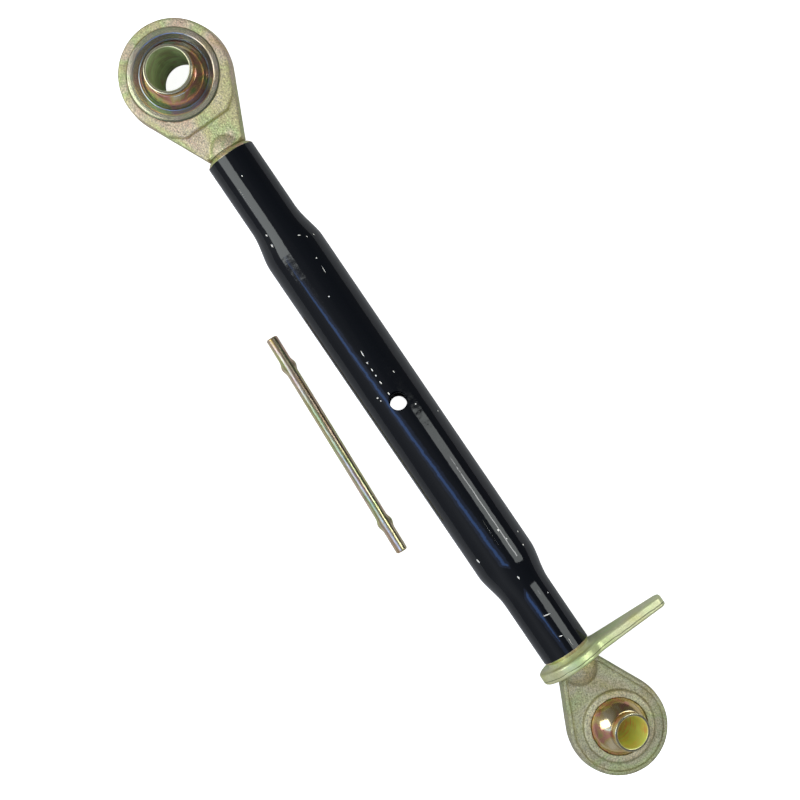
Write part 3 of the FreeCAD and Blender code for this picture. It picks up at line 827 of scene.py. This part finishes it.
sizes = thread_tree.nodes.new("NodeGroupInput").outputs
grid = add_node(thread_tree, "GeometryNodeMeshGrid", ("Size X", sizes["Length"]), ("Size Y", 1.0),
                ("Vertices X", sizes["Rows"]), ("Vertices Y", THREAD_SIDES + 1))
flat = split(thread_tree, thread_tree.nodes.new("GeometryNodeInputPosition").outputs[0])
along, turn = flat["X"], flat["Y"]
count = thread_sum("ADD", thread_sum("DIVIDE", along, sizes["Pitch"]),
                   thread_sum("MULTIPLY", turn, sizes["Hand"]))
flank = remapped(thread_tree, thread_sum("PINGPONG", count, 0.5), 0.06, 0.44)
radius = thread_sum("SUBTRACT", sizes["Radius"], thread_sum("MULTIPLY", flank, sizes["Depth"]))
half = thread_sum("MULTIPLY", sizes["Length"], 0.5)
tip = thread_sum("SUBTRACT", half, along)
taper = thread_sum("SUBTRACT", thread_sum("ADD", sizes["Radius"], tip), sizes["Lead"])
radius = thread_sum("MINIMUM", radius, taper)
row = thread_sum("DIVIDE", sizes["Length"], thread_sum("SUBTRACT", sizes["Rows"], 1.0))
limit = thread_sum("SUBTRACT", half, thread_sum("MULTIPLY", row, 0.5))
inside = thread_sum("LESS_THAN", thread_sum("ABSOLUTE", along), limit)
radius = thread_sum("MULTIPLY", radius, inside)
angle = thread_sum("MULTIPLY", turn, math.tau)
rolled = add_node(thread_tree, "ShaderNodeCombineXYZ", (0, along),
                  (1, thread_sum("MULTIPLY", radius, thread_sum("COSINE", angle))),
                  (2, thread_sum("MULTIPLY", radius, thread_sum("SINE", angle))))
tube = add_node(thread_tree, "GeometryNodeSetPosition", ("Geometry", grid.outputs["Mesh"]),
                ("Position", rolled.outputs[0]))
welded = add_node(thread_tree, "GeometryNodeMergeByDistance", ("Geometry", tube.outputs[0]),
                  ("Distance", 1e-6))
coated = add_node(thread_tree, "GeometryNodeSetMaterial", ("Geometry", welded.outputs[0]),
                  ("Material", sizes["Material"]))
thread_tree.links.new(coated.outputs[0], thread_tree.nodes.new("NodeGroupOutput").inputs[0])
print("thread tree:", len(thread_tree.nodes), "nodes")


# %% Run the thread tree
def rolled_thread(length, hand, material):
    """Plain mesh of a threaded shank of a length in millimetres, along X about the origin."""
    rows = round(length / THREAD_PITCH * ROWS_PER_TURN)
    holder = bpy.data.objects.new("thread", bpy.data.meshes.new("thread"))
    bpy.context.scene.collection.objects.link(holder)
    modifier = holder.modifiers.new("thread", "NODES")
    modifier.node_group = thread_tree
    wanted = {"Rows": rows, "Length": length * MM, "Hand": hand, "Material": material}
    for item in thread_tree.interface.items_tree:
        if item.in_out == "INPUT" and item.name in wanted:
            modifier[item.identifier] = wanted[item.name]
    return baked_mesh(holder)


# %% [markdown]
# ## Forged rod ends
# Each rod end is one drop forging: an eye with a drafted rim, a step down to its neck, and the
# shank. The CAD eye has the right form but machined edges, so a merged copy of it is remeshed
# into even small faces, relaxed a little as a forging's corners are, and pushed in by a
# shallow noise so that no face stays perfectly flat.

# %% Forging helpers
def merged_copy(node):
    """Copy of a CAD node's mesh with its loose triangles welded."""
    mesh = frame["nodes"][node].data.copy()
    work = bmesh.new()
    work.from_mesh(mesh)
    bmesh.ops.remove_doubles(work, verts=work.verts, dist=1e-6)
    work.to_mesh(mesh)
    work.free()
    return mesh


# Size of the even faces, and the depth and wavelength of the unevenness, in millimetres.
FORGING_VOXEL = 0.55
SKIN_DEPTH = 0.12
SKIN_WAVE = 5.0


def forged(node):
    """Remeshed, relaxed and slightly uneven copy of a CAD node."""
    holder = bpy.data.objects.new("forging", merged_copy(node))
    bpy.context.scene.collection.objects.link(holder)
    even = holder.modifiers.new("even faces", "REMESH")
    even.mode, even.voxel_size = "VOXEL", FORGING_VOXEL * MM
    soft = holder.modifiers.new("soft corners", "SMOOTH")
    soft.iterations, soft.factor = 1, 0.5
    mesh = baked_mesh(holder)
    normals = [point.normal.copy() for point in mesh.vertices]
    for point, normal in zip(mesh.vertices, normals):
        uneven = 0.5 + 0.5 * noise.noise(point.co / (SKIN_WAVE * MM))
        point.co -= normal * uneven * SKIN_DEPTH * MM
    return mesh


def join(name, *meshes):
    """One mesh holding several."""
    work = bmesh.new()
    for mesh in meshes:
        work.from_mesh(mesh)
    joined = bpy.data.meshes.new(name)
    work.to_mesh(joined)
    work.free()
    return joined


# %% Rod ends
SHANK_OVERLAP = 0.3
ENDS = {
    "tractor": {"roll": 4.5, "flip": 0.0, "reach": 53.8, "shank": 161.5, "hand": -1.0,
                "forging": tractor_forging},
    "implement": {"roll": -4.0, "flip": 180.0, "reach": 42.4, "shank": 170.0, "hand": 1.0,
                  "forging": implement_forging},
}
for end, size in ENDS.items():
    centre = Vector(JOINTS[end + "_swivel"]["pos_m"])
    roll = Matrix.Rotation(math.radians(size["roll"]), 4, "X")
    flip = Matrix.Rotation(math.radians(size["flip"]), 4, "Y")
    size["eye"] = Matrix.Translation(centre) @ roll @ flip
    eye = forged(end + "_eye")
    thread = rolled_thread(size["shank"], size["hand"], size["forging"])
    middle = size["reach"] + size["shank"] / 2 - SHANK_OVERLAP
    thread.transform(size["eye"] @ Matrix.Translation(Vector((middle, 0, 0)) * MM))
    whole = join(end + "_forging", eye, thread)
    finish_mesh(whole, size["forging"], 50)
    new_piece(end + "_forging", whole, end + "_rod_end", "forging_zinc", end + "_eye",
              end + "_shank")

# %% [markdown]
# ## Balls
# A ball joint's ball is turned from bar: a sphere with a short collar on each side and a bore
# for the linkage pin. A fine groove parts the collar from the ball, where the tool ran out.

# %% Balls
GROOVE_DEPTH = 0.35

for end, size in BALLS.items():
    ball, collar, half = size["ball"], size["collar"], size["width"] / 2
    waist = math.degrees(math.acos((collar + 0.15) / ball))
    foot = ball * math.sin(math.radians(waist))
    upper = [(collar - GROOVE_DEPTH, foot + 0.1), (collar - GROOVE_DEPTH, foot + 0.6),
             (collar, foot + 0.8), (collar, half), (size["bore"], half)]
    sphere = arc((0, 0), ball, -waist, waist, 60)
    outline = broken(mirrored(upper) + sphere + upper, 0.5, 25)
    mount = MOUNTS[end + "_ball_bore"]
    mesh = turned_mesh(end + "_ball", outline, standing(mount["pos_m"], mount["axis"]))
    finish_mesh(mesh, size["paint"])
    new_piece(end + "_swivel_ball", mesh, end + "_ball", "ball_zinc", end + "_ball")

# %% [markdown]
# ## Retaining rings
# The ball goes in from one side, and a turned ring is pressed in behind it. It has a flat land
# at the outside, a dished face that leads down to the ball, and a thin rolled lip.

# %% Rings
BALL_CLEARANCE = 0.05
RING_SINK = 0.3

for end, size in RINGS.items():
    outer, seat, opening = size["outer"], size["seat"], size["opening"]
    ball, top = BALLS[end]["ball"] + BALL_CLEARANCE, size["face"] - RING_SINK
    first = math.degrees(math.asin(seat / ball))
    last = math.degrees(math.acos(opening / ball))
    bearing = arc((0, 0), ball, last, first, 12)
    mouth = bearing[0][1]
    face = [(outer, seat), (outer, top), (outer - size["land"], top),
            (opening + 0.9, mouth + 0.35), (opening + 0.35, mouth + 0.55)]
    mesh = turned_mesh(end + "_ring", broken(bearing + face, 0.4, 25), ENDS[end]["eye"])
    finish_mesh(mesh, size["steel"])
    new_piece(end + "_turned_ring", mesh, end + "_rod_end", "ring_zinc",
              end + "_retaining_ring")

# %% [markdown]
# ## Lever lock nut
# The lock nut is forged with its lever in one piece. A welded copy of the CAD nut is kept as it
# is, because its edges are already rounded; its material adds the dark flash line that runs
# round the edge where the dies met, a little below the middle and not quite straight.

# %% Lock nut
NUT_GREEN = (0.62, 0.78, 0.38)
FLASH_DARK = (0.08, 0.10, 0.03)
FLASH_SETBACK = 2.4
FLASH_WANDER = 1.6

nut_paint, tree, shader = new_material("lock nut plate")
place = object_place(tree)
plate = use_group(tree, chromate, ("Vector", place), ("Scale", 26.0), ("Fine Scale", 900.0),
                  ("Fine Amount", 0.35), ("Shift", 0.04))
grain = use_group(tree, skin, ("Vector", place), ("Grain Scale", 700.0))
wander = math_node(tree, "SUBTRACT", noise_field(tree, place, 90.0, 3.0), 0.5)
offset = math_node(tree, "MULTIPLY", wander, FLASH_WANDER * MM)
flash = math_node(tree, "SUBTRACT", math_node(tree, "ADD", split(tree, place)["X"], offset),
                  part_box("lock_nut")[1].x - FLASH_SETBACK * MM)
line = remapped(tree, math_node(tree, "ABSOLUTE", flash), 0.1 * MM, 0.35 * MM, 1.0, 0.0)
colour = mixed(tree, 0.55, plate["Color"], NUT_GREEN)
colour = mixed(tree, math_node(tree, "MULTIPLY", line, 0.75), colour, FLASH_DARK)
height = math_node(tree, "SUBTRACT", grain["Height"], line)
dress(tree, shader, colour, 0.38, 0.6, height, 0.4, 0.25)

nut_mesh = merged_copy("lock_nut")
finish_mesh(nut_mesh, nut_paint, 30)
new_piece("lever_nut", nut_mesh, "lock_nut", "forging_zinc", "lock_nut")

# %% [markdown]
# ## Tommy bar
# A drawn bar, pinched near each end in a press so that two small ears stand out and it can't
# fall through the hole. The press comes up from below: the bar is flattened a little on its
# underside, and the steel that is squeezed out goes sideways into a thin fin at mid height. The
# bar is rings of points along its length, and a half oval about each pinch shapes each ring.

# %% Tommy bar
BAR_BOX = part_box("tommy_bar")
BAR_LENGTH = 154.0
BAR_RADIUS = 3.75
BAR_CHAMFER = 0.7
BAR_LEAN = -2.6
PINCH_SETBACK = 20.5
PINCH_REACH = 5.0
PINCH_SINK = 0.8
EAR_SPREAD = 1.15
# Powers that make an ear short along the bar and thin from top to bottom.
EAR_POINT, EAR_THIN = 5, 12
BAR_ROWS, BAR_SIDES = 385, 48

bar_paint, tree, shader = new_material("drawn bar plate")
place = object_place(tree)
stretch = add_node(tree, "ShaderNodeMapping", ("Vector", place), ("Scale", (0.10, 1.0, 1.0)))
plate = use_group(tree, chromate, ("Vector", stretch.outputs[0]), ("Scale", 150.0),
                  ("Fine Scale", 1500.0), ("Fine Amount", 0.5), ("Shift", 0.02))
drawn = add_node(tree, "ShaderNodeMapping", ("Vector", place), ("Scale", (0.05, 1.0, 1.0)))
scratches = noise_field(tree, drawn.outputs[0], 1800.0, 3.0)
dress(tree, shader, plate["Color"], 0.22, 0.92, scratches, 0.25, 0.1)


def pinch(along):
    """How strongly the press has squeezed the bar at a distance along it, from 0 to 1."""
    away = abs(abs(along) - (BAR_LENGTH / 2 - PINCH_SETBACK)) / PINCH_REACH
    return math.sqrt(1 - away ** 2) if away < 1 else 0.0


def bar_point(along, angle):
    """Point on the bar's skin in millimetres, X along it, at a distance and an angle."""
    radius = BAR_RADIUS - max(0.0, BAR_CHAMFER - (BAR_LENGTH / 2 - abs(along)))
    squeeze, across, up = pinch(along), math.cos(angle), math.sin(angle)
    ear = math.copysign(EAR_SPREAD, across) * squeeze ** EAR_POINT * across ** EAR_THIN
    sink = squeeze * PINCH_SINK / BAR_RADIUS if up < 0 else 0.0
    return Vector((along, radius * across + ear, radius * up * (1 - sink)))


lay = (Matrix.Translation((BAR_BOX[0] + BAR_BOX[1]) / 2)
       @ Matrix.Rotation(math.radians(BAR_LEAN), 4, "Z"))
skin_points, faces = [], []
for row in range(BAR_ROWS):
    along = BAR_LENGTH * (row / (BAR_ROWS - 1) - 0.5)
    for side in range(BAR_SIDES):
        skin_points.append(lay @ (bar_point(along, math.tau * side / BAR_SIDES) * MM))
for row in range(BAR_ROWS - 1):
    for side in range(BAR_SIDES):
        here, beside = row * BAR_SIDES + side, row * BAR_SIDES + (side + 1) % BAR_SIDES
        faces.append((here, beside, beside + BAR_SIDES, here + BAR_SIDES))
faces.append(tuple(range(BAR_SIDES)))
faces.append(tuple(range(len(skin_points) - BAR_SIDES, len(skin_points))))
bar_mesh = bpy.data.meshes.new("tommy_bar")
bar_mesh.from_pydata(skin_points, [], faces)
finish_mesh(bar_mesh, bar_paint)
new_piece("pinched_bar", bar_mesh, "tommy_bar", "bar_zinc", "tommy_bar")
